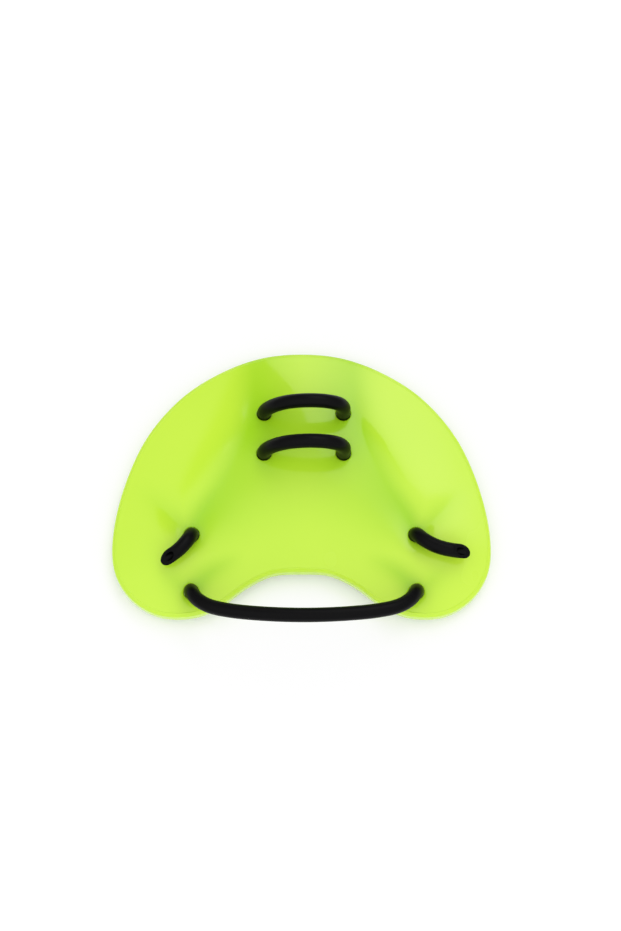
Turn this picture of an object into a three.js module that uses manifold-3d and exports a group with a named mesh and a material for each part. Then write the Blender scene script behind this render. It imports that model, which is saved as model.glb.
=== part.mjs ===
// Swim hand paddle: a moulded blade for the palm, with two finger loops and a wrist loop of rubber tube.
// Millimetres. +Z is up, out of the hand side. +Y points to the fingertips. The paddle lies on its back,
// on the tube runs behind the blade. The origin is under the middle of the whole paddle, on the surface.

import * as THREE from 'three';
import { mergeVertices } from 'three/addons/utils/BufferGeometryUtils.js';
import Module from 'manifold-3d';

const wasm = await Module();
wasm.setup();

// Blade. The dome's power sets how fast the hand side climbs from the rim, and the valleys' fall sets how
// sharply their sides drop.
const BLADE_WIDTH = 148;
const BLADE_LENGTH = 108;
const BLADE_WALL = 2.4;
const DOME_RISE = 5.5;
const DOME_POWER = 1.5;
const RIM_HEIGHT = 5.2;
const RIM_WIDTH = 2.6;
const RIM_DRAFT = 0.9;
const EDGE_ROUND = 1.2;
const EDGE_BEVEL = 0.5;
const VALLEY_DEPTH = 1.5;
const VALLEY_FALL = 1.6;

// Strap tube. The bend is the radius of its centre line where it turns into a run behind the blade.
const TUBE_OD = 5.6;
const TUBE_BORE = 3;
const HOLE_CLEARANCE = 0.3;
const BACK_BEND = 4.5;

// Strap holes. Their pattern sits a little to one side of the blade's middle. The top row is measured
// from the fingertip edge, and the wrist holes from the blade's sides and from its wrist edge.
const HOLE_SHIFT = 0.9;
const FINGER_HOLE_SPREAD = 31.2;
const FINGER_TOP_ROW = 26.5;
const FINGER_ROW_PITCH = 16.6;
const WRIST_HOLE_INSET = 30.4;
const WRIST_HOLE_EDGE = 9.8;
const SIDE_HOLE_PITCH = 22.4;

// Finger loops, and the tube's two ends behind the blade
const FINGER_LOOP_RISE = 16.6;
const BACK_END_LENGTH = 13;

// Wrist loop, and the tube's two cut ends on the hand side. The cut slants to the tube's own line.
const WRIST_LOOP_RISE = 16;
const WRIST_LOOP_LEAN = 12.8;
const LEFT_END_REACH = 17.3;
const RIGHT_END_REACH = 22.3;
const CUT_END_RISE = 7;
const CUT_ANGLE = 38;

// Fineness of the meshes
const OUTLINE_STEPS = 80;
const DOME_RINGS = 9;
const TUBE_SIDES = 10;
const BORE_SIDES = 6;
const HOLE_SIDES = 16;
const TUBE_STEP = 2.5;
const BEND_STEPS = 4;
const EDGE_STEPS = 3;

// Share that the cutting block is larger than the cut
const CUTTER_MARGIN = 1.4;

// Right half of the blade's outline, as shares of half the width and half the length.
const OUTLINE = [
  { across: 0, along: 1 },
  { across: 0.219, along: 0.969 },
  { across: 0.435, along: 0.854 },
  { across: 0.65, along: 0.652 },
  { across: 0.839, along: 0.324 },
  { across: 0.965, along: -0.133 },
  { across: 1, along: -0.5 },
  { across: 0.976, along: -0.694 },
  { across: 0.897, along: -0.861 },
  { across: 0.777, along: -0.97 },
  { across: 0.659, along: -1 },
  { across: 0.526, along: -0.976 },
  { across: 0.397, along: -0.885 },
  { across: 0.293, along: -0.776 },
  { across: 0.154, along: -0.681 },
  { across: 0, along: -0.665 },
];

// Highest point of the dome, as a share of half the length.
const DOME_MIDDLE = 0.15;

// Valleys of the palm relief on the right half. Each starts at a hole and fades out at its far end.
// across and along are shares of half the width and half the length, and depth is a share of the valley
// depth. outer and inner are the spread to either side of the valley's line, in shares of half the width.
const VALLEYS = [
  {
    hole: 'side',
    rows: [
      { depth: 1, outer: 0.06, inner: 0.08 },
      { across: 0.54, along: -0.25, depth: 1, outer: 0.06, inner: 0.15 },
      { across: 0.435, along: -0.03, depth: 0.85, outer: 0.065, inner: 0.28 },
      { across: 0.36, along: 0.17, depth: 0.7, outer: 0.075, inner: 0.38 },
      { across: 0.285, along: 0.4, depth: 0.5, outer: 0.09, inner: 0.33 },
      { across: 0.265, along: 0.56, depth: 0.4, outer: 0.09, inner: 0.26 },
      { across: 0.26, along: 0.9, depth: 0.1, outer: 0.09, inner: 0.2 },
    ],
  },
  {
    hole: 'side',
    rows: [
      { depth: 0.7, outer: 0.06, inner: 0.06 },
      { across: 0.7, along: -0.26, depth: 0.4, outer: 0.06, inner: 0.06 },
      { across: 0.87, along: -0.03, depth: 0, outer: 0.06, inner: 0.06 },
    ],
  },
  {
    hole: 'wrist',
    rows: [
      { depth: 0.75, outer: 0.06, inner: 0.06 },
      { across: 0.5, along: -0.69, depth: 0.65, outer: 0.055, inner: 0.055 },
      { across: 0.3, along: -0.53, depth: 0, outer: 0.06, inner: 0.06 },
    ],
  },
  {
    hole: 'wrist',
    rows: [
      { depth: 0.55, outer: 0.06, inner: 0.06 },
      { across: 0.67, along: -0.74, depth: 0.35, outer: 0.055, inner: 0.055 },
      { across: 0.77, along: -0.58, depth: 0, outer: 0.055, inner: 0.055 },
    ],
  },
];

// Finger loop, from its left hole to its right one. across is a share of half the hole spread, and rise
// is a share of the loop's rise. The left leg slants in and the right leg stands up.
const FINGER_LOOP = [
  { across: -1, rise: 0 },
  { across: -0.975, rise: 0.2 },
  { across: -0.87, rise: 0.44 },
  { across: -0.67, rise: 0.69 },
  { across: -0.38, rise: 0.89 },
  { across: -0.03, rise: 0.99 },
  { across: 0.3, rise: 1 },
  { across: 0.62, rise: 0.92 },
  { across: 0.87, rise: 0.75 },
  { across: 0.985, rise: 0.5 },
  { across: 1, rise: 0.22 },
  { across: 1, rise: 0 },
];

// Wrist loop, from a hole to its middle. lean is a share of the loop's lean towards the wrist.
const WRIST_LOOP = [
  { across: 1, rise: 0, lean: 0 },
  { across: 0.998, rise: 0.25, lean: 0.03 },
  { across: 0.98, rise: 0.47, lean: 0.19 },
  { across: 0.93, rise: 0.62, lean: 0.42 },
  { across: 0.83, rise: 0.76, lean: 0.65 },
  { across: 0.66, rise: 0.88, lean: 0.82 },
  { across: 0.36, rise: 0.97, lean: 0.95 },
  { across: 0, rise: 1, lean: 1 },
];

// Cut ends of the wrist tube on the hand side. out and back are shares of the end's reach, outwards to
// the blade's side and back towards the wrist, and rise is a share of the height that the ends reach.
const LEFT_END = [
  { out: 0, back: 0, rise: 0 },
  { out: 0.01, back: 0.05, rise: 0.45 },
  { out: 0.07, back: 0.2, rise: 0.85 },
  { out: 0.23, back: 0.41, rise: 1 },
  { out: 0.42, back: 0.57, rise: 1.02 },
  { out: 0.66, back: 0.72, rise: 1 },
];
const RIGHT_END = [
  { out: 0, back: 0, rise: 0 },
  { out: 0.03, back: 0.04, rise: 0.45 },
  { out: 0.14, back: 0.16, rise: 0.82 },
  { out: 0.35, back: 0.285, rise: 0.97 },
  { out: 0.64, back: 0.36, rise: 1 },
  { out: 0.93, back: 0.385, rise: 1 },
];

const halfWidth = BLADE_WIDTH / 2;
const halfLength = BLADE_LENGTH / 2;
const tubeRadius = TUBE_OD / 2;
const straightLead = tubeRadius / 3;
const domeMiddle = new THREE.Vector2(0, DOME_MIDDLE * halfLength);

// Holes in the blade's plane. The wrist and side holes are measured from the hole pattern's middle.
const fingerRows = [halfLength - FINGER_TOP_ROW, halfLength - FINGER_TOP_ROW - FINGER_ROW_PITCH];
const fingerLeft = HOLE_SHIFT - FINGER_HOLE_SPREAD / 2;
const fingerRight = HOLE_SHIFT + FINGER_HOLE_SPREAD / 2;
const wristHole = new THREE.Vector2(halfWidth - WRIST_HOLE_INSET, WRIST_HOLE_EDGE - halfLength);
const sideHole = new THREE.Vector2(wristHole.x, wristHole.y + SIDE_HOLE_PITCH);

function across(side, hole) {
  return HOLE_SHIFT + side * hole.x;
}

// Outline as a closed curve, sampled in even steps, and the direction out of it at each sample
function outlinePoints() {
  const right = OUTLINE.map((row) => new THREE.Vector3(row.across * halfWidth, row.along * halfLength, 0));
  const left = right.slice(1, -1).reverse().map((p) => new THREE.Vector3(-p.x, p.y, 0));
  const curve = new THREE.CatmullRomCurve3([...right, ...left], true, 'centripetal');
  const points = curve.getSpacedPoints(OUTLINE_STEPS).slice(0, OUTLINE_STEPS);
  return points.map((p, i) => {
    const tangent = curve.getTangentAt(i / OUTLINE_STEPS);
    return { at: new THREE.Vector2(p.x, p.y), out: new THREE.Vector2(-tangent.y, tangent.x) };
  });
}

const outline = outlinePoints();

// Distance to the whole outline, blended so that it has no creases inside the blade
function softDistance(x, y) {
  const point = new THREE.Vector2(x, y);
  let pull = 0;
  for (let i = 0; i < outline.length; i += 1) {
    const toA = outline[i].at.clone().sub(point);
    const toB = outline[(i + 1) % outline.length].at.clone().sub(point);
    const both = toA.length() * toB.length();
    const reach = toA.length() + toB.length();
    pull += (toA.distanceTo(toB) * reach) / (both * (both + toA.dot(toB)) + 1e-9);
  }
  return Math.sqrt(2 / pull);
}

const domeReach = softDistance(domeMiddle.x, domeMiddle.y);

// Valley rows as points in the blade's plane, the first one at the valley's hole
function valleyRows(valley) {
  const start = valley.hole === 'side' ? sideHole : wristHole;
  return valley.rows.map((row, i) => ({
    at: i === 0 ? start : new THREE.Vector2(row.across * halfWidth, row.along * halfLength),
    depth: row.depth * VALLEY_DEPTH,
    outer: row.outer * halfWidth,
    inner: row.inner * halfWidth,
  }));
}

const valleys = VALLEYS.map(valleyRows);

// Depth of one valley at a point: deepest on its line, with its own fall on the outer and inner side
function valleyDepth(rows, point) {
  let deepest = 0;
  for (let i = 0; i + 1 < rows.length; i += 1) {
    const a = rows[i];
    const b = rows[i + 1];
    const run = b.at.clone().sub(a.at);
    const share = THREE.MathUtils.clamp(point.clone().sub(a.at).dot(run) / run.lengthSq(), 0, 1);
    const off = point.clone().sub(a.at).addScaledVector(run, -share);
    const away = off.length();
    const inward = away > 1e-6 ? run.cross(off) / (run.length() * away) : 0;
    const depth = THREE.MathUtils.lerp(a.depth, b.depth, share);
    const outer = THREE.MathUtils.lerp(a.outer, b.outer, share);
    const inner = THREE.MathUtils.lerp(a.inner, b.inner, share);
    const spread = THREE.MathUtils.lerp(outer, inner, (1 + inward) / 2);
    deepest = Math.max(deepest, depth * Math.exp(-((away / spread) ** VALLEY_FALL)));
  }
  return deepest;
}

// Height of the hand side over the rim's top line: a low dome less the valleys of both halves
function domeHeight(x, y) {
  const share = Math.min(softDistance(x, y) / domeReach, 1);
  const dome = DOME_RISE * (1 - (1 - share) ** DOME_POWER);
  const halves = [-1, 1].map((side) => new THREE.Vector2(side * (x - HOLE_SHIFT), y));
  const depths = halves.flatMap((point) => valleys.map((rows) => valleyDepth(rows, point) ** 4));
  return dome - depths.reduce((sum, d) => sum + d, 0) ** 0.25;
}

// The runs behind the blade lie on the surface, so the lowest hole sets how high the rim stands.
const runHeight = tubeRadius;
const lowestDome = domeHeight(across(1, wristHole), wristHole.y);
const rimBase = runHeight + BACK_BEND + BLADE_WALL - lowestDome - RIM_HEIGHT;
const rimTop = rimBase + RIM_HEIGHT;

function handSide(x, y) {
  return rimTop + domeHeight(x, y);
}

// Solid from a geometry, and back
function solidOf(geometry) {
  const bare = geometry.index ? geometry.toNonIndexed() : geometry.clone();
  bare.deleteAttribute('normal');
  bare.deleteAttribute('uv');
  const merged = mergeVertices(bare, 1e-4);
  return new wasm.Manifold(new wasm.Mesh({
    numProp: 3,
    vertProperties: new Float32Array(merged.attributes.position.array),
    triVerts: new Uint32Array(merged.index.array),
  }));
}

function geometryOf(solid) {
  const mesh = solid.getMesh();
  const geometry = new THREE.BufferGeometry();
  geometry.setAttribute('position', new THREE.BufferAttribute(new Float32Array(mesh.vertProperties), 3));
  geometry.setIndex(new THREE.BufferAttribute(new Uint32Array(mesh.triVerts), 1));
  geometry.computeVertexNormals();
  return geometry;
}

// Closed rings of points, joined one to the next and closed by a fan at both ends
function lathedRings(firstTip, rings, lastTip) {
  const count = rings[0].length;
  const positions = [firstTip, ...rings.flat(), lastTip].flatMap((p) => [p.x, p.y, p.z]);
  const last = 1 + rings.length * count;
  const at = (ring, i) => 1 + ring * count + (i % count);
  const index = [];
  for (let i = 0; i < count; i += 1) {
    index.push(0, at(0, i + 1), at(0, i));
    for (let ring = 0; ring + 1 < rings.length; ring += 1) {
      index.push(at(ring, i), at(ring, i + 1), at(ring + 1, i));
      index.push(at(ring, i + 1), at(ring + 1, i + 1), at(ring + 1, i));
    }
    index.push(last, at(rings.length - 1, i), at(rings.length - 1, i + 1));
  }
  const geometry = new THREE.BufferGeometry();
  geometry.setAttribute('position', new THREE.Float32BufferAttribute(positions, 3));
  geometry.setIndex(index);
  return geometry;
}

// Blade: a thin domed shell with a turned-down rim. It is built in rings, from the middle of the hand
// side out over the rounded edge, under the rim, and back in along the far side.
function bladeShell() {
  const innerInset = RIM_WIDTH + RIM_DRAFT;
  const inset = (distance) => outline.map((o) => o.at.clone().addScaledVector(o.out, -distance));
  const lift = (points, height) => points.map((p) => new THREE.Vector3(p.x, p.y, height(p)));
  const overHand = (p) => handSide(p.x, p.y);
  const farSide = (p) => handSide(p.x, p.y) - BLADE_WALL;
  const domeRings = [];
  for (let k = 1; k <= DOME_RINGS; k += 1) {
    const share = k / DOME_RINGS;
    domeRings.push(inset(innerInset).map((p) => domeMiddle.clone().lerp(p, share)));
  }
  const hand = domeRings.map((ring) => lift(ring, overHand));
  const far = domeRings.map((ring) => lift(ring, farSide)).reverse();
  const edge = [];
  for (let k = 0; k <= EDGE_STEPS; k += 1) {
    const turn = (k / EDGE_STEPS) * (Math.PI / 2);
    const ring = inset(EDGE_ROUND * (1 - Math.sin(turn)));
    edge.push(lift(ring, (p) => handSide(p.x, p.y) - EDGE_ROUND * (1 - Math.cos(turn))));
  }
  edge.push(lift(inset(0), () => rimBase + EDGE_BEVEL));
  edge.push(lift(inset(EDGE_BEVEL), () => rimBase));
  edge.push(lift(inset(RIM_WIDTH), () => rimBase));
  const middle = new THREE.Vector3(domeMiddle.x, domeMiddle.y, handSide(domeMiddle.x, domeMiddle.y));
  const middleFar = middle.clone().setZ(middle.z - BLADE_WALL);
  return lathedRings(middle, [...hand, ...edge, ...far], middleFar);
}

// A strap hole, right through the blade
function holeDrill(x, y) {
  const radius = tubeRadius + HOLE_CLEARANCE;
  const height = 4 * (RIM_HEIGHT + DOME_RISE + BLADE_WALL);
  const drill = new THREE.CylinderGeometry(radius, radius, height, HOLE_SIDES);
  drill.rotateX(Math.PI / 2);
  drill.translate(x, y, rimTop);
  return solidOf(drill);
}

function bladeGeometry() {
  let solid = solidOf(bladeShell());
  const holes = [];
  for (const y of fingerRows) {
    holes.push([fingerLeft, y], [fingerRight, y]);
  }
  for (const hole of [sideHole, wristHole]) {
    holes.push([across(-1, hole), hole.y], [across(1, hole), hole.y]);
  }
  for (const [x, y] of holes) {
    solid = solid.subtract(holeDrill(x, y));
  }
  return geometryOf(solid);
}

// Points of a round bend at a corner of the tube's route
function bend(before, corner, after) {
  const arriving = corner.clone().sub(before).normalize();
  const leaving = after.clone().sub(corner).normalize();
  const angle = arriving.angleTo(leaving);
  const start = corner.clone().addScaledVector(arriving, -BACK_BEND * Math.tan(angle / 2));
  const inward = leaving.clone().addScaledVector(arriving, -leaving.dot(arriving)).normalize();
  const centre = start.clone().addScaledVector(inward, BACK_BEND);
  const points = [start.clone().addScaledVector(arriving, -straightLead)];
  for (let k = 0; k <= BEND_STEPS; k += 1) {
    const turn = (k / BEND_STEPS) * angle;
    const point = centre.clone().addScaledVector(inward, -BACK_BEND * Math.cos(turn));
    points.push(point.addScaledVector(arriving, BACK_BEND * Math.sin(turn)));
  }
  points.push(points[points.length - 1].clone().addScaledVector(leaving, straightLead));
  return points;
}

// Where a hole's line meets the surface under the paddle, at the height of the runs
function underHole(x, y) {
  return new THREE.Vector3(x, y, runHeight);
}

// Tube along a route, open at both ends
function tubeAlong(points) {
  const curve = new THREE.CatmullRomCurve3(points, false, 'centripetal');
  const ringOf = (radius, sides) => Array.from({ length: sides }, (_, i) => new THREE.Vector2(
    radius * Math.cos((2 * Math.PI * i) / sides),
    radius * Math.sin((2 * Math.PI * i) / sides),
  ));
  const section = new THREE.Shape(ringOf(tubeRadius, TUBE_SIDES));
  section.holes.push(new THREE.Path(ringOf(TUBE_BORE / 2, BORE_SIDES)));
  const steps = Math.round(curve.getLength() / TUBE_STEP);
  return new THREE.ExtrudeGeometry(section, { steps, extrudePath: curve, bevelEnabled: false });
}

// Finger tube: both finger loops, the run that joins them behind the blade, and its two back ends
function fingerTubeGeometry() {
  const loop = (y) => FINGER_LOOP.map((row) => {
    const x = HOLE_SHIFT + (row.across * FINGER_HOLE_SPREAD) / 2;
    const foot = handSide(row.across < 0 ? fingerLeft : fingerRight, y);
    return new THREE.Vector3(x, y, foot + row.rise * FINGER_LOOP_RISE);
  });
  const backEnd = (y) => new THREE.Vector3(fingerLeft - BACK_END_LENGTH, y, runHeight);
  const [top, low] = fingerRows;
  const topLoop = loop(top);
  const lowLoop = loop(low).reverse();
  const first = topLoop[0];
  const last = lowLoop[lowLoop.length - 1];
  return tubeAlong([
    backEnd(top),
    ...bend(backEnd(top), underHole(fingerLeft, top), first),
    ...topLoop,
    ...bend(topLoop[topLoop.length - 1], underHole(fingerRight, top), underHole(fingerRight, low)),
    ...bend(underHole(fingerRight, top), underHole(fingerRight, low), lowLoop[0]),
    ...lowLoop,
    ...bend(last, underHole(fingerLeft, low), backEnd(low)),
    backEnd(low),
  ]);
}

// Block that takes a slanting slice off a tube's end. The cut faces up and outwards, and runs from the
// tube's upper side to the tip of its lower side.
function cutter(end, before) {
  const heading = end.clone().sub(before).setZ(0).normalize();
  const angle = THREE.MathUtils.degToRad(CUT_ANGLE);
  const normal = heading.clone().multiplyScalar(Math.sin(angle));
  normal.z = Math.cos(angle);
  const size = (CUTTER_MARGIN * TUBE_OD) / Math.sin(angle);
  const block = new THREE.BoxGeometry(size, size, size);
  block.translate(0, 0, size / 2);
  block.applyQuaternion(new THREE.Quaternion().setFromUnitVectors(new THREE.Vector3(0, 0, 1), normal));
  const cutMiddle = end.clone().addScaledVector(heading, -tubeRadius / Math.tan(angle));
  block.translate(cutMiddle.x, cutMiddle.y, cutMiddle.z);
  return solidOf(block);
}

// Wrist tube: the wrist loop, the two runs behind the blade, and the two cut ends on the hand side
function wristTubeGeometry() {
  const wristFoot = handSide(across(1, wristHole), wristHole.y);
  const sideFoot = handSide(across(1, sideHole), sideHole.y);
  const half = (side) => WRIST_LOOP.map((row) => new THREE.Vector3(
    HOLE_SHIFT + side * row.across * wristHole.x,
    wristHole.y - row.lean * WRIST_LOOP_LEAN,
    wristFoot + row.rise * WRIST_LOOP_RISE,
  ));
  const cutEnd = (rows, side, reach) => rows.map((row) => new THREE.Vector3(
    across(side, sideHole) + side * row.out * reach,
    sideHole.y - row.back * reach,
    sideFoot + row.rise * CUT_END_RISE,
  ));
  const backRun = (side) => [sideHole, wristHole].map((hole) => underHole(across(side, hole), hole.y));
  const leftEnd = cutEnd(LEFT_END, -1, LEFT_END_REACH);
  const rightEnd = cutEnd(RIGHT_END, 1, RIGHT_END_REACH);
  const leftHalf = half(-1);
  const rightHalf = half(1);
  const [leftSide, leftWrist] = backRun(-1);
  const [rightSide, rightWrist] = backRun(1);
  const tube = tubeAlong([
    ...leftEnd.slice().reverse(),
    ...bend(leftEnd[0], leftSide, leftWrist),
    ...bend(leftSide, leftWrist, leftHalf[0]),
    ...leftHalf,
    ...rightHalf.slice(0, -1).reverse(),
    ...bend(rightHalf[0], rightWrist, rightSide),
    ...bend(rightWrist, rightSide, rightEnd[0]),
    ...rightEnd,
  ]);
  let solid = solidOf(tube);
  for (const end of [leftEnd, rightEnd]) {
    solid = solid.subtract(cutter(end[end.length - 1], end[end.length - 2]));
  }
  return geometryOf(solid);
}

const limePlastic = new THREE.MeshStandardMaterial({ color: 0xbfe83c, roughness: 0.28, metalness: 0 });
const blackRubber = new THREE.MeshStandardMaterial({ color: 0x0e0e0f, roughness: 0.62, metalness: 0 });

function named(name, geometry, material) {
  const mesh = new THREE.Mesh(geometry, material);
  mesh.name = name;
  return mesh;
}

const paddle = new THREE.Group();
paddle.add(named('blade', bladeGeometry(), limePlastic));
paddle.add(named('finger_tube', fingerTubeGeometry(), blackRubber));
paddle.add(named('wrist_tube', wristTubeGeometry(), blackRubber.clone()));

// The wrist loop reaches past the blade, so the paddle moves up to put its middle over the origin.
const wristReach = wristHole.y - WRIST_LOOP_LEAN - tubeRadius;
paddle.position.y = -(halfLength + wristReach) / 2;

export default paddle;
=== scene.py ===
# A swim hand paddle on a pale floor: a moulded lime blade with finger loops and a wrist loop of black tube.
# It lies on its back, hand side up, with its fingertip edge away from the camera.

import math

import bpy
import numpy as np
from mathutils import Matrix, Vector
from mathutils.geometry import delaunay_2d_cdt


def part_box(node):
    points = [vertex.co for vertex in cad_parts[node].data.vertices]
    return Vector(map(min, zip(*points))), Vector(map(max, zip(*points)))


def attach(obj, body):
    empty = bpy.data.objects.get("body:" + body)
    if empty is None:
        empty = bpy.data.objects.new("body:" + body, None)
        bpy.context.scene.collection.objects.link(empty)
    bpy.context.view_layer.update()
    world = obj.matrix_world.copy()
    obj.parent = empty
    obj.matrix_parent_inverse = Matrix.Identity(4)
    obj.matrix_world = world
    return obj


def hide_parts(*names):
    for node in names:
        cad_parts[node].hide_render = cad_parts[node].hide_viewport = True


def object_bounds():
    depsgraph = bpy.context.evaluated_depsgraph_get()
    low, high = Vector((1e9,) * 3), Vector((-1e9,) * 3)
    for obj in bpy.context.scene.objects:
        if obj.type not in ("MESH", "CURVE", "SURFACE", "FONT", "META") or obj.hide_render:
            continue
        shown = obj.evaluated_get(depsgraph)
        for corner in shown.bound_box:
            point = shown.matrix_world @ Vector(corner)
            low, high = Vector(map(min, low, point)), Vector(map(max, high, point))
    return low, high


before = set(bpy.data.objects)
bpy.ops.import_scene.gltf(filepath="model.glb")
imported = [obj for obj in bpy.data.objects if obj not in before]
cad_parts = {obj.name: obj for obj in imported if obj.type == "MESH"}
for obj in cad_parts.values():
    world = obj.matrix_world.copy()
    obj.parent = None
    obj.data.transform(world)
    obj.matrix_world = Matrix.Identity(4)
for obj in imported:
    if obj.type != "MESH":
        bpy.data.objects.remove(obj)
cad_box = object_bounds()

# The camera. It looks down on the hand side from the wrist, steeply and from far off, so that the blade
# shows nearly in its true outline. The point under the paddle's middle falls where the photo has it.
PHOTO_WIDTH = 621
PHOTO_HEIGHT = 931
PADDLE_PIXEL_X = 301.5
PADDLE_PIXEL_Y = 496.5
PIXELS_PER_METRE = 2522
SENSOR_MM = 36
camera_distance = 0.9
camera_elevation = math.radians(74)

camera_data = bpy.data.cameras.new("paddle_camera")
camera_data.sensor_fit = "VERTICAL"
camera_data.sensor_height = SENSOR_MM
camera_data.lens = SENSOR_MM * PIXELS_PER_METRE * camera_distance / PHOTO_HEIGHT
camera_data.shift_x = (PHOTO_WIDTH / 2 - PADDLE_PIXEL_X) / PHOTO_HEIGHT
camera_data.shift_y = (PADDLE_PIXEL_Y - PHOTO_HEIGHT / 2) / PHOTO_HEIGHT
camera = bpy.data.objects.new("paddle_camera", camera_data)
camera.location = (
    0,
    -camera_distance * math.cos(camera_elevation),
    camera_distance * math.sin(camera_elevation),
)
camera.rotation_euler = (math.pi / 2 - camera_elevation, 0, 0)
bpy.context.collection.objects.link(camera)
bpy.context.scene.camera = camera

# The blade: a thin shell moulded in one piece from lime plastic, domed under the palm. Its rim turns down
# and carries a fine raised line, soft valleys run to the strap holes, and a notch clears the wrist.
# All of its sizes are in millimetres, from the middle of the blade.
MM = 0.001
BLADE_WIDTH = 148
BLADE_LENGTH = 108
BLADE_WALL = 2.4
DOME_RISE = 5.5
DOME_POWER = 1.5
DOME_MIDDLE = 0.15
RIM_HEIGHT = 5.2
RIM_WIDTH = 2.6
RIM_DRAFT = 0.9
EDGE_ROUND = 1.2
EDGE_BEVEL = 0.5
RIM_LINE_INSET = 1.35
RIM_LINE_WIDTH = 0.5
RIM_LINE_HEIGHT = 0.14
VALLEY_DEPTH = 1.5
VALLEY_FALL = 1.6
VALLEY_BLEND = 4
TUBE_OD = 5.6
HOLE_GAP = 0.1
HOLE_ROUND = 0.45
HOLE_SHIFT = 0.9
FINGER_HOLE_SPREAD = 31.2
FINGER_TOP_ROW = 26.5
FINGER_ROW_PITCH = 16.6
WRIST_HOLE_INSET = 30.4
WRIST_HOLE_EDGE = 9.8
SIDE_HOLE_PITCH = 22.4
OUTLINE_FIT = 0.01
BLADE_SHARP_ANGLE = 50

# How finely the blade's mesh is made: its pitch, the points round a hole, and how near the net of the sheet
# comes to the rim and to the collars of the holes, as shares of the pitch
MESH_PITCH = 1.0
HOLE_SIDES = 48
NET_TO_RIM = 0.75
NET_TO_COLLAR = 0.6
MERGE_DISTANCE = 1e-6
CURVE_STEPS = 24
VALLEY_STEP = 2.0

half_width = BLADE_WIDTH / 2
half_length = BLADE_LENGTH / 2
blade_low, blade_high = (np.array(corner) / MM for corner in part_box("blade"))
blade_y = (blade_low[1] + blade_high[1]) / 2
rim_base = blade_low[2]
rim_top = rim_base + RIM_HEIGHT

# Right half of the outline from the fingertip edge to the notch, as shares of half the width and length
OUTLINE = [
    (0, 1), (0.219, 0.969), (0.435, 0.854), (0.65, 0.652), (0.839, 0.324), (0.965, -0.133),
    (1, -0.5), (0.976, -0.694), (0.897, -0.861), (0.777, -0.97), (0.659, -1), (0.526, -0.976),
    (0.397, -0.885), (0.293, -0.776), (0.154, -0.681), (0, -0.665),
]

# Valleys of the right half, each from a hole, where its first row lies. Rows give a point across and along,
# the depth and the strength of the painted shade laid in the colour there, and the spread on the outer and
# inner side.
SIDE_TO_FINGERS = [
    (None, None, 1, 0.95, 0.06, 0.08),
    (0.54, -0.25, 1, 0.95, 0.06, 0.15),
    (0.435, -0.03, 0.85, 0.8, 0.065, 0.28),
    (0.36, 0.17, 0.7, 0.75, 0.075, 0.38),
    (0.285, 0.4, 0.5, 0.9, 0.09, 0.33),
    (0.265, 0.56, 0.4, 0.85, 0.09, 0.26),
    (0.26, 0.9, 0.1, 0.65, 0.09, 0.2),
]
SIDE_TO_WING = [
    (None, None, 0.7, 0.7, 0.06, 0.06),
    (0.7, -0.26, 0.4, 0.4, 0.06, 0.06),
    (0.87, -0.03, 0, 0, 0.06, 0.06),
]
WRIST_TO_NOTCH = [
    (None, None, 0.75, 0.8, 0.06, 0.06),
    (0.5, -0.69, 0.65, 0.7, 0.055, 0.055),
    (0.3, -0.53, 0, 0, 0.06, 0.06),
]
WRIST_TO_LOBE = [
    (None, None, 0.55, 0.6, 0.06, 0.06),
    (0.67, -0.74, 0.35, 0.4, 0.055, 0.055),
    (0.77, -0.58, 0, 0, 0.055, 0.055),
]
# Column numbers in the rows; the fourth column holds the strength of the painted shade
DEPTH, PAINTED_SHADE, OUTER_SPREAD, INNER_SPREAD = 2, 3, 4, 5

finger_rows = [half_length - FINGER_TOP_ROW, half_length - FINGER_TOP_ROW - FINGER_ROW_PITCH]
finger_left = HOLE_SHIFT - FINGER_HOLE_SPREAD / 2
finger_right = HOLE_SHIFT + FINGER_HOLE_SPREAD / 2
wrist_hole = np.array([half_width - WRIST_HOLE_INSET, WRIST_HOLE_EDGE - half_length])
side_hole = wrist_hole + [0, SIDE_HOLE_PITCH]
strap_holes = [(x, y) for y in finger_rows for x in (finger_left, finger_right)]
for hole in (side_hole, wrist_hole):
    strap_holes += [(HOLE_SHIFT + side * hole[0], hole[1]) for side in (-1, 1)]


def smooth_line(points, step, closed=False):
    """Even points along a smooth curve through the given ones."""
    points = np.array(points, float)
    if closed:
        ends = np.vstack([points[-1], points, points[:2]])
    else:
        ends = np.vstack([2 * points[0] - points[1], points, 2 * points[-1] - points[-2]])
    t = np.linspace(0, 1, CURVE_STEPS, endpoint=False)[:, None]
    pieces = []
    for a, b, c, d in zip(ends, ends[1:], ends[2:], ends[3:]):
        before, here, after = (np.linalg.norm(q - p) ** 0.5 for p, q in ((a, b), (b, c), (c, d)))
        leave = ((b - a) / before - (c - a) / (before + here) + (c - b) / here) * here
        arrive = ((c - b) / here - (d - b) / (here + after) + (d - c) / after) * here
        pieces.append(
            b * (2 * t**3 - 3 * t**2 + 1)
            + leave * (t**3 - 2 * t**2 + t)
            + c * (3 * t**2 - 2 * t**3)
            + arrive * (t**3 - t**2)
        )
    line = np.vstack(pieces + [ends[-2][None]])
    reach = np.concatenate([[0], np.cumsum(np.linalg.norm(np.diff(line, axis=0), axis=1))])
    count = max(2, round(reach[-1] / step))
    stops = np.linspace(0, reach[-1], count + 1)
    even = np.column_stack([np.interp(stops, reach, column) for column in line.T])
    return even[:-1] if closed else even


right_half = [(across * half_width, along * half_length) for across, along in OUTLINE]
left_half = [(-x, y) for x, y in right_half[-2:0:-1]]
outline = smooth_line(right_half + left_half, MESH_PITCH, closed=True)
outline *= (blade_high - blade_low - OUTLINE_FIT)[:2] / np.ptp(outline, axis=0)
outline[:, 1] -= (outline[:, 1].max() + outline[:, 1].min()) / 2
along_outline = np.roll(outline, -1, axis=0) - np.roll(outline, 1, axis=0)
along_outline /= np.linalg.norm(along_outline, axis=1)[:, None]
out_of_blade = np.column_stack([-along_outline[:, 1], along_outline[:, 0]])


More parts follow.
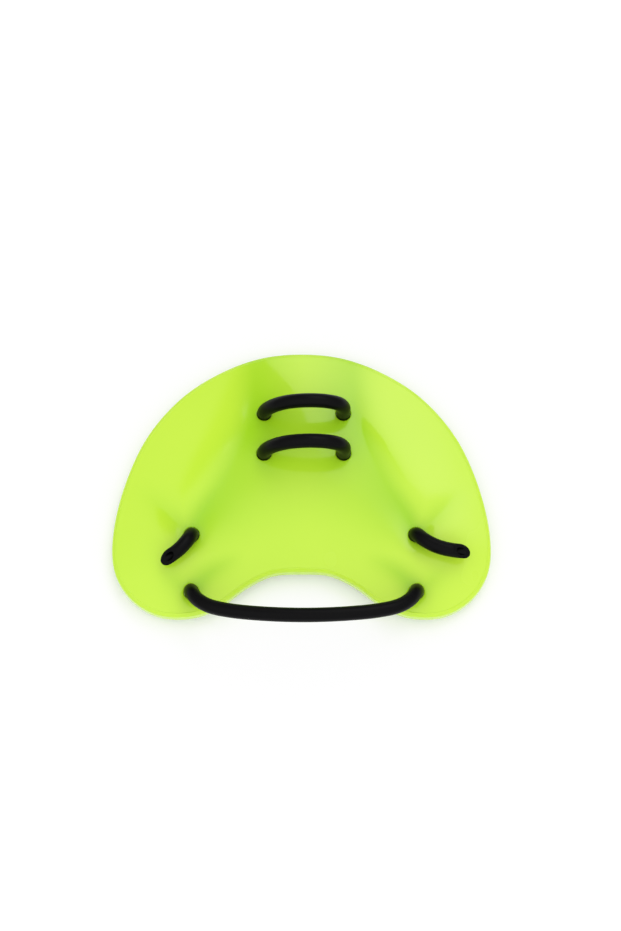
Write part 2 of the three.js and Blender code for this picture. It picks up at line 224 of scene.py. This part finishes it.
def soft_distance(xy):
    """Distance to the whole outline, blended so that it has no creases inside the blade."""
    pull = np.zeros(len(xy))
    for a, b in zip(outline, np.roll(outline, -1, axis=0)):
        to_a = a - xy
        to_b = b - xy
        reach_a = np.linalg.norm(to_a, axis=1)
        reach_b = np.linalg.norm(to_b, axis=1)
        both = reach_a * reach_b
        spread = both * (both + (to_a * to_b).sum(axis=1)) + 1e-9
        pull += np.linalg.norm(b - a) * (reach_a + reach_b) / spread
    return np.sqrt(2 / pull)


dome_reach = soft_distance(np.array([[0, DOME_MIDDLE * half_length]]))[0]


def valley_field(xy, rows, hole, field):
    """A valley's depth or the strength of its painted shade, with its own fall on either side of the valley's
    line.
    """
    line = [(hole[0], hole[1], *rows[0][DEPTH:])]
    line += [(row[0] * half_width, row[1] * half_length, *row[DEPTH:]) for row in rows[1:]]
    line = smooth_line(np.array(line) * [1, 1, 1, 1, half_width, half_width], VALLEY_STEP)
    deepest = np.zeros(len(xy))
    for a, b in zip(line, line[1:]):
        run = b[:2] - a[:2]
        share = np.clip((xy - a[:2]) @ run / (run @ run), 0, 1)
        off = xy - a[:2] - share[:, None] * run
        away = np.linalg.norm(off, axis=1)
        inward = (run[0] * off[:, 1] - run[1] * off[:, 0]) / np.linalg.norm(run) / np.maximum(away, 1e-6)
        depth, outer, inner = (a[i] + share * (b[i] - a[i]) for i in (field, OUTER_SPREAD, INNER_SPREAD))
        spread = (outer + inner) / 2 + inward * (inner - outer) / 2
        deepest = np.maximum(deepest, depth * np.exp(-((away / spread) ** VALLEY_FALL)))
    return deepest


def palm_relief(xy, field=DEPTH):
    """Share of the full depth, or of the full painted shade, at each point: the valleys of both halves,
    blended where they meet.
    """
    total = np.zeros(len(xy))
    for side in (-1, 1):
        mirrored = np.column_stack([side * (xy[:, 0] - HOLE_SHIFT), xy[:, 1]])
        for rows, hole in (
            (SIDE_TO_FINGERS, side_hole),
            (SIDE_TO_WING, side_hole),
            (WRIST_TO_NOTCH, wrist_hole),
            (WRIST_TO_LOBE, wrist_hole),
        ):
            total += valley_field(mirrored, rows, hole, field) ** VALLEY_BLEND
    return total ** (1 / VALLEY_BLEND)


def hand_side(xy):
    """Height of the hand side: a low dome over the rim, less the valleys."""
    xy = np.atleast_2d(np.array(xy, float))
    share = np.clip(soft_distance(xy) / dome_reach, 0, 1)
    return rim_top + DOME_RISE * (1 - (1 - share) ** DOME_POWER) - VALLEY_DEPTH * palm_relief(xy)


def quads_between(first, second):
    """Faces between two closed rings of vertex numbers."""
    count = len(first)
    return [
        (first[i], first[(i + 1) % count], second[(i + 1) % count], second[i]) for i in range(count)
    ]


def inside(loop, xy):
    """Which points lie inside a closed loop."""
    found = np.zeros(len(xy), bool)
    for a, b in zip(loop, np.roll(loop, -1, axis=0)):
        if a[1] == b[1]:
            continue
        crosses = (a[1] > xy[:, 1]) != (b[1] > xy[:, 1])
        meets = a[0] + (xy[:, 1] - a[1]) * (b[0] - a[0]) / (b[1] - a[1])
        found ^= crosses & (xy[:, 0] < meets)
    return found


def finish_mesh(name, points, faces, sharp_degrees):
    """A new object from points in millimetres, placed with the blade, shaded smooth but for sharp edges."""
    placed = (np.array(points, float) + [0, blade_y, 0]) * MM
    mesh = bpy.data.meshes.new(name)
    mesh.from_pydata(placed.tolist(), [], faces)
    mesh.validate()
    mesh.update()
    mesh.shade_smooth()
    mesh.set_sharp_from_angle(angle=math.radians(sharp_degrees))
    piece = bpy.data.objects.new(name, mesh)
    bpy.context.collection.objects.link(piece)
    return piece


# The sheet of the blade inside the rim, as one flat net of triangles with round openings at the holes. A
# collar of fine rings lies between each opening and its hole.
COLLAR_WIDTH = 2.6
COLLAR_RINGS = [2.0, 1.5, 1.1, 0.8, 0.6]
ROUND_STEP = 15
rim_inner = RIM_WIDTH + RIM_DRAFT
hole_radius = TUBE_OD / 2 + HOLE_GAP
collar_radius = hole_radius + COLLAR_WIDTH
inner_loop = outline - out_of_blade * rim_inner
turns = np.linspace(0, 2 * math.pi, HOLE_SIDES, endpoint=False)
circle = np.column_stack([np.cos(turns), np.sin(turns)])
net_points = [tuple(p) for p in inner_loop]
net_edges = [(i, (i + 1) % len(inner_loop)) for i in range(len(inner_loop))]
for hole in strap_holes:
    start = len(net_points)
    net_points += [tuple(np.array(hole) + collar_radius * p) for p in circle]
    net_edges += [(start + i, start + (i + 1) % HOLE_SIDES) for i in range(HOLE_SIDES)]
row_pitch = MESH_PITCH * math.sqrt(3) / 2
grid = [
    (column * MESH_PITCH + (row % 2) * MESH_PITCH / 2 - half_width, row * row_pitch - half_length)
    for row in range(int(BLADE_LENGTH / row_pitch) + 1)
    for column in range(int(BLADE_WIDTH / MESH_PITCH) + 1)
]
grid = np.array(grid)
clear = inside(inner_loop, grid)
for a in inner_loop:
    clear &= np.linalg.norm(grid - a, axis=1) > NET_TO_RIM * MESH_PITCH
for hole in strap_holes:
    clear &= np.linalg.norm(grid - hole, axis=1) > collar_radius + NET_TO_COLLAR * MESH_PITCH
net_points += [tuple(p) for p in grid[clear]]
net = delaunay_2d_cdt([Vector(p) for p in net_points], net_edges, [], 0, MERGE_DISTANCE)
net_xy = np.array([tuple(p) for p in net[0]])
number_of = {old: new for new, olds in enumerate(net[3]) for old in olds}
triangles = np.array([tuple(face) for face in net[2]])
middles = net_xy[triangles].mean(axis=1)
kept = inside(inner_loop, middles)
for hole in strap_holes:
    kept &= np.linalg.norm(middles - hole, axis=1) > collar_radius * math.cos(math.pi / HOLE_SIDES)
triangles = triangles[kept]

blade_points = []
blade_faces = []


def add_points(xy, z):
    """Adds points to the blade and gives back their numbers."""
    start = len(blade_points)
    blade_points.extend(np.column_stack([xy, z]).tolist())
    return list(range(start, start + len(xy)))


sheet_top = add_points(net_xy, hand_side(net_xy))
sheet_far = add_points(net_xy, hand_side(net_xy) - BLADE_WALL)
for a, b, c in triangles.tolist():
    blade_faces.append((sheet_top[a], sheet_top[b], sheet_top[c]))
    blade_faces.append((sheet_far[c], sheet_far[b], sheet_far[a]))

# Rounded collar and wall of each hole, from the hand side through to the far side
for number, hole in enumerate(strap_holes):
    start = len(inner_loop) + number * HOLE_SIDES
    loop = [number_of[start + i] for i in range(HOLE_SIDES)]
    widths = COLLAR_RINGS + [HOLE_ROUND * (1 - math.sin(math.radians(a))) for a in range(0, 91, ROUND_STEP)]
    top_rings = [[sheet_top[i] for i in loop]]
    far_rings = [[sheet_far[i] for i in loop]]
    for width in widths:
        xy = np.array(hole) + (hole_radius + width) * circle
        height = hand_side(xy)
        short = max(HOLE_ROUND - width, 0)
        drop = HOLE_ROUND - math.sqrt(max(HOLE_ROUND**2 - short**2, 0))
        top_rings.append(add_points(xy, height - drop))
        far_rings.append(add_points(xy, height - BLADE_WALL + drop))
    rings = top_rings + far_rings[::-1]
    for first, second in zip(rings, rings[1:]):
        blade_faces += quads_between(first, second)

# Rim: out over the raised line and the rounded edge, down its wall, under it and back in to the far side
FLANK_INSETS = [3.2, 2.9, 2.6, 2.3, 2.0, 1.8]
LINE_STEP = 22
WALL_SHARES = [0.3, 0.6, 0.9]
BEVEL_STEP = 18
FOOT_EDGE = 0.15
DRAFT_SHARES = [0.12, 0.5, 0.88]
rim_rings = [[sheet_top[number_of[i]] for i in range(len(inner_loop))]]
line_half = RIM_LINE_WIDTH / 2
line_insets = [RIM_LINE_INSET + line_half * math.cos(math.radians(a)) for a in range(0, 181, LINE_STEP)]
for inset in FLANK_INSETS + line_insets:
    xy = outline - out_of_blade * inset
    bump = max(1 - ((inset - RIM_LINE_INSET) / line_half) ** 2, 0) * RIM_LINE_HEIGHT
    rim_rings.append(add_points(xy, hand_side(xy) + bump))
for angle in range(ROUND_STEP, 91, ROUND_STEP):
    turn = math.radians(angle)
    xy = outline - out_of_blade * EDGE_ROUND * (1 - math.sin(turn))
    rim_rings.append(add_points(xy, hand_side(xy) - EDGE_ROUND * (1 - math.cos(turn))))
wall_top = hand_side(outline) - EDGE_ROUND
for share in WALL_SHARES:
    rim_rings.append(add_points(outline, wall_top + share * (rim_base + EDGE_BEVEL - wall_top)))
for angle in range(0, 91, BEVEL_STEP):
    turn = math.radians(angle)
    xy = outline - out_of_blade * EDGE_BEVEL * (1 - math.cos(turn))
    rim_rings.append(add_points(xy, np.full(len(xy), rim_base + EDGE_BEVEL * (1 - math.sin(turn)))))
xy = outline - out_of_blade * (RIM_WIDTH - FOOT_EDGE)
rim_rings.append(add_points(xy, np.full(len(xy), rim_base)))
for share in DRAFT_SHARES:
    xy = outline - out_of_blade * (RIM_WIDTH + share * RIM_DRAFT)
    far = hand_side(xy) - BLADE_WALL
    rim_rings.append(add_points(xy, rim_base + share * (far - rim_base)))
rim_rings.append([sheet_far[number_of[i]] for i in range(len(inner_loop))])
for first, second in zip(rim_rings, rim_rings[1:]):
    blade_faces += quads_between(second, first)

blade = finish_mesh("blade_shell", blade_points, blade_faces, BLADE_SHARP_ANGLE)
# Painted shade: a share for each point of how much darker colour is laid along the valleys, where shade falls
painted_valley_shade = blade.data.attributes.new("painted_valley_shade", "FLOAT", "POINT")
painted_valley_shade.data.foreach_set("value", palm_relief(np.array(blade_points)[:, :2], PAINTED_SHADE))
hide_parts("blade")
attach(blade, "root")


def new_material(name):
    """A material with its node tree, its shader and a way to add nodes."""
    material = bpy.data.materials.new(name)
    material.use_nodes = True
    nodes = material.node_tree.nodes
    links = material.node_tree.links
    return material, nodes, links, nodes["Principled BSDF"]


# Lime plastic: dyed through, with painted shade that darkens it to a deeper green along the valleys, a faint
# flow pattern from moulding and a glossy face with fine pitting
lime, nodes, links, shader = new_material("lime_plastic")
place = nodes.new("ShaderNodeTexCoord")
flow = nodes.new("ShaderNodeTexNoise")
flow.inputs["Scale"].default_value = 18
flow.inputs["Detail"].default_value = 3
links.new(place.outputs["Object"], flow.inputs["Vector"])
dye = nodes.new("ShaderNodeValToRGB")
dye.color_ramp.elements[0].position = 0.3
dye.color_ramp.elements[0].color = (0.49, 0.8, 0.035, 1)
dye.color_ramp.elements[1].position = 0.7
dye.color_ramp.elements[1].color = (0.52, 0.82, 0.04, 1)
links.new(flow.outputs["Fac"], dye.inputs["Fac"])
# Painted shade: the lime is mixed towards a deeper green by that share, standing in for shade in the valleys
valley_shade_value = nodes.new("ShaderNodeAttribute")
valley_shade_value.attribute_name = "painted_valley_shade"
valley_shade_mix = nodes.new("ShaderNodeMix")
valley_shade_mix.data_type = "RGBA"
valley_shade_mix.inputs["B"].default_value = (0.31, 0.63, 0.004, 1)
links.new(valley_shade_value.outputs["Fac"], valley_shade_mix.inputs["Factor"])
links.new(dye.outputs["Color"], valley_shade_mix.inputs["A"])
links.new(valley_shade_mix.outputs["Result"], shader.inputs["Base Color"])
polish = nodes.new("ShaderNodeMapRange")
polish.inputs["To Min"].default_value = 0.22
polish.inputs["To Max"].default_value = 0.3
links.new(flow.outputs["Fac"], polish.inputs["Value"])
links.new(polish.outputs["Result"], shader.inputs["Roughness"])
pitting = nodes.new("ShaderNodeTexNoise")
pitting.inputs["Scale"].default_value = 900
links.new(place.outputs["Object"], pitting.inputs["Vector"])
relief = nodes.new("ShaderNodeBump")
relief.inputs["Strength"].default_value = 0.04
relief.inputs["Distance"].default_value = 0.0002
links.new(pitting.outputs["Fac"], relief.inputs["Height"])
links.new(relief.outputs["Normal"], shader.inputs["Normal"])
shader.inputs["IOR"].default_value = 1.49
shader.inputs["Specular IOR Level"].default_value = 0.2
shader.inputs["Coat Weight"].default_value = 0.55
shader.inputs["Coat Roughness"].default_value = 0.03
links.new(relief.outputs["Normal"], shader.inputs["Coat Normal"])
blade.data.materials.append(lime)

# The finger tube: one length of black rubber tube that makes both finger loops. It goes down through the
# right holes to a short run behind the blade, and its two ends lie behind the left holes.
TUBE_BORE = 3
BACK_BEND = 4.5
FINGER_LOOP_RISE = 16.55
BACK_END_LENGTH = 13
RUN_HEIGHT = 2.83
TUBE_STEP = 0.6
TUBE_SIDES = 32
TUBE_SHARP_ANGLE = 40
BEND_STEPS = 4
CUT_REACH = 1.6
CUT_TRIES = 200
START_SIDE = [0.3, 0.2, 1]
FINGER_LOOP = [
    (-1, 0), (-0.975, 0.2), (-0.87, 0.44), (-0.67, 0.69), (-0.38, 0.89), (-0.03, 0.99),
    (0.3, 1), (0.62, 0.92), (0.87, 0.75), (0.985, 0.5), (1, 0.22), (1, 0),
]
tube_radius = TUBE_OD / 2
straight_lead = tube_radius / 3


def unit(v):
    """A direction of length one."""
    return v / np.linalg.norm(v)


def bend(before, corner, after):
    """Points of a round bend at a corner of the tube's route."""
    before, corner, after = (np.array(p, float) for p in (before, corner, after))
    arriving = unit(corner - before)
    leaving = unit(after - corner)
    angle = math.acos(np.clip(arriving @ leaving, -1, 1))
    start = corner - arriving * BACK_BEND * math.tan(angle / 2)
    inward = unit(leaving - arriving * (leaving @ arriving))
    centre = start + inward * BACK_BEND
    points = [start - arriving * straight_lead]
    for step in range(BEND_STEPS + 1):
        turn = step / BEND_STEPS * angle
        points.append(centre + BACK_BEND * (arriving * math.sin(turn) - inward * math.cos(turn)))
    points.append(points[-1] + leaving * straight_lead)
    return points


def foot(x, y):
    """Where a hole's middle line meets the hand side."""
    return float(hand_side((x, y))[0])


def under_hole(x, y):
    """Where a hole's middle line meets the run behind the blade."""
    return np.array([x, y, RUN_HEIGHT])


def tube_frames(route):
    """Points along a route with two steady directions across it."""
    line = smooth_line(route, TUBE_STEP)
    heading = np.gradient(line, axis=0)
    heading /= np.linalg.norm(heading, axis=1)[:, None]
    side = unit(np.cross(heading[0], START_SIDE))
    sides = []
    for ahead in heading:
        side = unit(side - ahead * (side @ ahead))
        sides.append(side)
    sides = np.array(sides)
    return line, sides, np.cross(heading, sides)


def tube_mesh(name, route, cuts=(None, None)):
    """A tube with its bore along a route. A cut gives the plane of a slanted end: a point and a direction."""
    line, sides, ups = tube_frames(route)
    turns = np.linspace(0, 2 * math.pi, TUBE_SIDES, endpoint=False)
    stops = np.arange(len(line), dtype=float)
    last = len(line) - 1
    cut_steps = round(CUT_REACH * TUBE_OD / TUBE_STEP)

    def at(stop, values):
        return np.column_stack([np.interp(stop, stops, column) for column in values.T])

    def ring(stop, radius):
        across = np.cos(turns)[:, None] * at(stop, sides) + np.sin(turns)[:, None] * at(stop, ups)
        return at(stop, line) + radius * across

    def ends(radius, cut, near):
        if cut is None:
            return np.full(TUBE_SIDES, 0.0 if near else float(last))
        origin, direction = cut
        tries = np.linspace(0, cut_steps, CUT_TRIES)
        tries = tries if near else last - tries
        depth = np.array([(ring(np.full(TUBE_SIDES, t), radius) - origin) @ direction for t in tries])
        within = np.argmax(depth < 0, axis=0)
        return tries[within]

    shells = []
    for radius in (tube_radius, TUBE_BORE / 2):
        first = ends(radius, cuts[0], True)
        final = ends(radius, cuts[1], False)
        rings = []
        for index in range(last + 1):
            stop = np.full(TUBE_SIDES, float(index))
            if index < cut_steps:
                stop = first + (cut_steps - first) * index / cut_steps
            if index > last - cut_steps:
                stop = final - (final - (last - cut_steps)) * (last - index) / cut_steps
            rings.append(ring(stop, radius))
        shells.append(rings)
    points = []
    faces = []
    numbers = []
    for rings in shells:
        shell_numbers = []
        for one in rings:
            shell_numbers.append(list(range(len(points), len(points) + TUBE_SIDES)))
            points.extend(one.tolist())
        numbers.append(shell_numbers)
    outer, bore = numbers
    for first, second in zip(outer, outer[1:]):
        faces += quads_between(first, second)
    for first, second in zip(bore, bore[1:]):
        faces += quads_between(second, first)
    faces += quads_between(bore[0], outer[0])
    faces += quads_between(outer[-1], bore[-1])
    piece = finish_mesh(name, points, faces, TUBE_SHARP_ANGLE)
    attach(piece, "root")
    return piece


def finger_loop(y):
    """One finger loop, from its left hole to its right one."""
    points = []
    for across, rise in FINGER_LOOP:
        x = HOLE_SHIFT + across * FINGER_HOLE_SPREAD / 2
        nearer_hole = finger_left if across < 0 else finger_right
        points.append(np.array([x, y, foot(nearer_hole, y) + rise * FINGER_LOOP_RISE]))
    return points


top_row, low_row = finger_rows
top_loop = finger_loop(top_row)
low_loop = finger_loop(low_row)[::-1]
top_end = under_hole(finger_left - BACK_END_LENGTH, top_row)
low_end = under_hole(finger_left - BACK_END_LENGTH, low_row)
finger_route = [top_end]
finger_route += bend(top_end, under_hole(finger_left, top_row), top_loop[0])
finger_route += top_loop
finger_route += bend(top_loop[-1], under_hole(finger_right, top_row), under_hole(finger_right, low_row))
finger_route += bend(under_hole(finger_right, top_row), under_hole(finger_right, low_row), low_loop[0])
finger_route += low_loop
finger_route += bend(low_loop[-1], under_hole(finger_left, low_row), low_end)
finger_route += [low_end]
finger_tube = tube_mesh("finger_loops", finger_route)
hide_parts("finger_tube")

# Black rubber: an even dull skin with a faint grain from the die that the tube was drawn through
rubber, nodes, links, shader = new_material("black_rubber")
shader.inputs["IOR"].default_value = 1.5
shader.inputs["Specular IOR Level"].default_value = 0.075
place = nodes.new("ShaderNodeTexCoord")
grain = nodes.new("ShaderNodeTexNoise")
grain.inputs["Scale"].default_value = 700
grain.inputs["Detail"].default_value = 4
links.new(place.outputs["Object"], grain.inputs["Vector"])
shade = nodes.new("ShaderNodeValToRGB")
shade.color_ramp.elements[0].color = (0.001, 0.001, 0.0012, 1)
shade.color_ramp.elements[1].color = (0.002, 0.0019, 0.0023, 1)
links.new(grain.outputs["Fac"], shade.inputs["Fac"])
links.new(shade.outputs["Color"], shader.inputs["Base Color"])
dull = nodes.new("ShaderNodeMapRange")
dull.inputs["To Min"].default_value = 0.3
dull.inputs["To Max"].default_value = 0.4
links.new(grain.outputs["Fac"], dull.inputs["Value"])
links.new(dull.outputs["Result"], shader.inputs["Roughness"])
skin = nodes.new("ShaderNodeBump")
skin.inputs["Strength"].default_value = 0.1
skin.inputs["Distance"].default_value = 0.0001
links.new(grain.outputs["Fac"], skin.inputs["Height"])
links.new(skin.outputs["Normal"], shader.inputs["Normal"])
finger_tube.data.materials.append(rubber)

# The wrist tube: a longer length of the same tube. Its middle makes the wrist loop, its two runs lie
# behind the blade, and its slanted ends come out of the side holes onto the hand side. Rows give the loop's
# points across, up and towards the wrist, and the ends' points out, towards the wrist and up.
WRIST_LOOP_RISE = 16
WRIST_LOOP_LEAN = 12.8
LEFT_END_REACH = 17.3
RIGHT_END_REACH = 22.3
CUT_END_RISE = 7
CUT_ANGLE = math.radians(38)
WRIST_LOOP = [
    (1, 0, 0), (0.998, 0.25, 0.03), (0.98, 0.47, 0.19), (0.93, 0.62, 0.42), (0.83, 0.76, 0.65),
    (0.66, 0.88, 0.82), (0.36, 0.97, 0.95), (0, 1, 1),
]
LEFT_END = [
    (0, 0, 0), (0.01, 0.05, 0.45), (0.07, 0.2, 0.85), (0.23, 0.41, 1), (0.42, 0.57, 1.02), (0.66, 0.72, 1),
]
RIGHT_END = [
    (0, 0, 0), (0.03, 0.04, 0.45), (0.14, 0.16, 0.82), (0.35, 0.285, 0.97), (0.64, 0.36, 1), (0.93, 0.385, 1),
]


def wrist_side(side, end_rows, reach):
    """Half of the wrist tube: its cut end, the run behind the blade, and the loop to its middle."""
    side_x = HOLE_SHIFT + side * side_hole[0]
    wrist_x = HOLE_SHIFT + side * wrist_hole[0]
    side_foot = foot(HOLE_SHIFT + side_hole[0], side_hole[1])
    wrist_foot = foot(HOLE_SHIFT + wrist_hole[0], wrist_hole[1])
    cut_end = [
        np.array([side_x + side * out * reach, side_hole[1] - back * reach, side_foot + rise * CUT_END_RISE])
        for out, back, rise in end_rows
    ]
    loop = [
        np.array([
            HOLE_SHIFT + side * across * wrist_hole[0],
            wrist_hole[1] - lean * WRIST_LOOP_LEAN,
            wrist_foot + rise * WRIST_LOOP_RISE,
        ])
        for across, rise, lean in WRIST_LOOP
    ]
    side_run = under_hole(side_x, side_hole[1])
    wrist_run = under_hole(wrist_x, wrist_hole[1])
    route = cut_end[::-1]
    route += bend(cut_end[0], side_run, wrist_run)
    route += bend(side_run, wrist_run, loop[0])
    route += loop
    heading = unit((cut_end[-1] - cut_end[-2]) * [1, 1, 0])
    facing = heading * math.sin(CUT_ANGLE) + np.array([0, 0, math.cos(CUT_ANGLE)])
    tip = cut_end[-1] - [0, 0, tube_radius]
    return route, (tip, facing)


left_route, left_cut = wrist_side(-1, LEFT_END, LEFT_END_REACH)
right_route, right_cut = wrist_side(1, RIGHT_END, RIGHT_END_REACH)
wrist_tube = tube_mesh("wrist_loop", left_route + right_route[-2::-1], (left_cut, right_cut))
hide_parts("wrist_tube")
wrist_tube.data.materials.append(rubber)

# The floor: plain pale paper that runs out of the picture on all sides. The paddle lies on it on
# the tube runs behind the blade.
FLOOR_SIZE = 6
floor_mesh = bpy.data.meshes.new("floor")
corner = FLOOR_SIZE / 2
floor_mesh.from_pydata(
    [(-corner, -corner, 0), (corner, -corner, 0), (corner, corner, 0), (-corner, corner, 0)],
    [],
    [(0, 1, 2, 3)],
)
floor = bpy.data.objects.new("floor", floor_mesh)
floor.location.z = cad_box[0][2]
bpy.context.collection.objects.link(floor)
paper, nodes, links, shader = new_material("floor_paper")
shader.inputs["Base Color"].default_value = (0.93, 0.93, 0.935, 1)
shader.inputs["Roughness"].default_value = 0.9
shader.inputs["Specular IOR Level"].default_value = 0.1
shader.inputs["Emission Color"].default_value = (1, 1, 1, 1)
shader.inputs["Emission Strength"].default_value = 0.12
floor_mesh.materials.append(paper)


# The room: brightest overhead and in front. Behind the fingertips hangs a dark flag, whose slanting edge
# shows in the glossy blade, and to the right of it a softbox that lies on the gloss as a veil. Both lie on a
# level one metre up, and their sizes say how far to the right and behind the blade they begin and end there.
ROOM_LIGHT = 1.43
ROOM_LOW_SHADE = 0.32
ROOM_FROM_ABOVE = 0.9
ROOM_FROM_BEHIND = -0.42
FLAG_SHADE = 0.95
FLAG_LEFT_EDGE = (-0.32, -0.2)
SHARED_EDGE = (0.15, 0.165)
SHARED_EDGE_SLANT = 0.3
FRONT_EDGE = (0.25, 0.4)
SOFTBOX_LIGHT = 2.1
SOFTBOX_GROWTH = (-0.2, 0.45)
SOFTBOX_BACK_EDGE = (2.2, 1.2)
SOFTBOX_RIGHT_EDGE = (0.9, 0.4)
HORIZON = 0.05
room = bpy.data.worlds.new("room")
room.use_nodes = True
nodes = room.node_tree.nodes
links = room.node_tree.links


def world_math(operation, *values):
    """A math node of the room; each value is a number or the output of another node."""
    node = nodes.new("ShaderNodeMath")
    node.operation = operation
    for socket, value in zip(node.inputs, values):
        if isinstance(value, (int, float)):
            socket.default_value = value
        else:
            links.new(value, socket)
    return node.outputs[0]


def ramp(value, dark_at, light_at):
    """A smooth share from 0 to 1 between two values."""
    node = nodes.new("ShaderNodeMapRange")
    node.interpolation_type = "SMOOTHSTEP"
    node.inputs["From Min"].default_value = dark_at
    node.inputs["From Max"].default_value = light_at
    links.new(value, node.inputs["Value"])
    return node.outputs["Result"]


way = nodes.new("ShaderNodeTexCoord")
split = nodes.new("ShaderNodeSeparateXYZ")
links.new(way.outputs["Generated"], split.inputs["Vector"])
from_above = world_math("MULTIPLY", split.outputs["Z"], ROOM_FROM_ABOVE)
up_and_front = world_math("MULTIPLY_ADD", split.outputs["Y"], ROOM_FROM_BEHIND, from_above)
fall = nodes.new("ShaderNodeValToRGB")
fall.color_ramp.elements[0].position = 0
fall.color_ramp.elements[0].color = (ROOM_LOW_SHADE, ROOM_LOW_SHADE, ROOM_LOW_SHADE, 1)
fall.color_ramp.elements[1].position = ROOM_FROM_ABOVE
fall.color_ramp.elements[1].color = (1, 1, 1, 1)
links.new(up_and_front, fall.inputs["Fac"])
links.new(fall.outputs["Color"], nodes["Background"].inputs["Color"])

above = world_math("MAXIMUM", split.outputs["Z"], HORIZON)
right = world_math("DIVIDE", split.outputs["X"], above)
behind = world_math("DIVIDE", split.outputs["Y"], above)
from_edge = world_math("MULTIPLY_ADD", behind, SHARED_EDGE_SLANT, right)
edge_start, edge_end = SHARED_EDGE
far_enough = ramp(behind, *FRONT_EDGE)
flag = world_math("MULTIPLY", ramp(from_edge, edge_end, edge_start), ramp(right, *FLAG_LEFT_EDGE))
flag = world_math("MULTIPLY", far_enough, flag)
shaded = world_math("MULTIPLY_ADD", flag, -FLAG_SHADE * ROOM_LIGHT, ROOM_LIGHT)
links.new(shaded, nodes["Background"].inputs["Strength"])
box = world_math("MULTIPLY", ramp(from_edge, edge_start, edge_end), ramp(from_edge, *SOFTBOX_GROWTH))
box = world_math("MULTIPLY", box, world_math("MULTIPLY", far_enough, ramp(behind, *SOFTBOX_BACK_EDGE)))
box = world_math("MULTIPLY", box, ramp(right, *SOFTBOX_RIGHT_EDGE))
softbox = nodes.new("ShaderNodeBackground")
links.new(world_math("MULTIPLY", box, SOFTBOX_LIGHT), softbox.inputs["Strength"])
both = nodes.new("ShaderNodeAddShader")
links.new(nodes["Background"].outputs[0], both.inputs[0])
links.new(softbox.outputs[0], both.inputs[1])
links.new(both.outputs[0], nodes["World Output"].inputs["Surface"])
scene = bpy.context.scene
scene.world = room

# The picture's tones: highlights roll off softly, as on film, so that bright lime keeps its shades beside
# the white floor. Pairs give the light that comes in and the tone that goes out.
FILM_WHITE = 2
FILM_ROLL_OFF = [(0.3, 0.3), (0.6, 0.6), (0.8, 0.77), (1.0, 0.93), (1.15, 0.995)]
scene.view_settings.view_transform = "Standard"
scene.view_settings.use_curve_mapping = True
film = scene.view_settings.curve_mapping
film.white_level = (FILM_WHITE, FILM_WHITE, FILM_WHITE)
roll_off = film.curves[3].points
roll_off[0].location = (0, 0)
roll_off[1].location = (1, 1)
for light_in, tone_out in FILM_ROLL_OFF:
    roll_off.new(light_in / FILM_WHITE, tone_out)
film.update()
